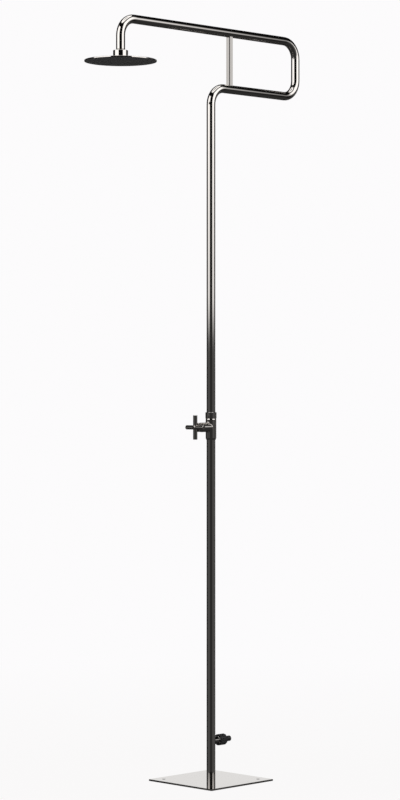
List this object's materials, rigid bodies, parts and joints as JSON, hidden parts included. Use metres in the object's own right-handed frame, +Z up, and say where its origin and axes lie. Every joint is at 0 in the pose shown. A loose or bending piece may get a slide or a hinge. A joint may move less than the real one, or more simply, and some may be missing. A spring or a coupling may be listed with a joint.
{
  "type": "outdoor shower post",
  "caption": "Free-standing outdoor shower post: square base plate, looped bent tube, cross-handle tap, round overhead rain head on a ball joint and a hose inlet.",
  "frame": {"origin": "centre of the base plate's underside, under the post's axis", "axes": "+Z up along the post; the head hangs towards -Y, the side that the user stands on; the loop and the hose inlet are towards +Y; X is across"},
  "size_m": [0.25, 0.8215, 2.15],
  "materials": {
    "polished_steel": "mirror-polished stainless steel",
    "brass": "machined brass",
    "spring_steel": "oiled spring steel",
    "disc_ceramic": "lapped alumina",
    "black_rubber": "moulded rubber",
    "grey_silicone": "moulded silicone",
    "black_plastic": "moulded plastic, fine texture",
    "white_nylon": "moulded nylon"
  },
  "bodies": {
    "stand": {"base_plate": "polished_steel", "foot_spigot": "polished_steel", "foot_seal": "black_rubber", "foot_grub_screw": "polished_steel", "lower_tube": "polished_steel", "upper_tube": "polished_steel", "brace": "polished_steel", "inlet_stub": "polished_steel", "adapter_washer": "black_rubber", "adapter_nut": "black_plastic", "adapter_nose": "black_plastic", "adapter_o_ring": "black_rubber", "valve_body": "polished_steel", "union_seal": "black_rubber", "union_nut": "polished_steel", "base_seal": "black_rubber", "fixed_disc": "disc_ceramic", "headwork_housing": "brass", "arm_nipple": "polished_steel", "nipple_washer": "black_rubber", "swivel_ball": "brass"},
    "tap_handle": {"handle_hub": "polished_steel", "handle_cross": "polished_steel", "handle_screw": "polished_steel", "handle_cap": "polished_steel", "valve_stem": "brass", "turning_disc": "disc_ceramic", "stem_seals": "black_rubber", "stem_clip": "spring_steel"},
    "ball_seat": {"seat_ring": "white_nylon"},
    "shower_head": {"ball_nut": "polished_steel", "head_shell": "polished_steel", "face_plate": "polished_steel", "nozzle_mat": "grey_silicone", "flow_regulator": "white_nylon"}
  },
  "joints": [
    {"name": "tap_turn", "type": "hinge", "parent": "stand", "child": "tap_handle", "pos_m": [0, -0.0635, 1.0075], "axis": [0, -1, 0], "range_deg": [0, 90]},
    {"name": "head_tilt", "type": "hinge", "parent": "stand", "child": "ball_seat", "pos_m": [0, -0.354, 2.0377], "axis": [1, 0, 0], "range_deg": [-10, 10]},
    {"name": "head_swivel", "type": "hinge", "parent": "ball_seat", "child": "shower_head", "pos_m": [0, -0.354, 2.0377], "axis": [0, 0, 1], "continuous": true}
  ]
}
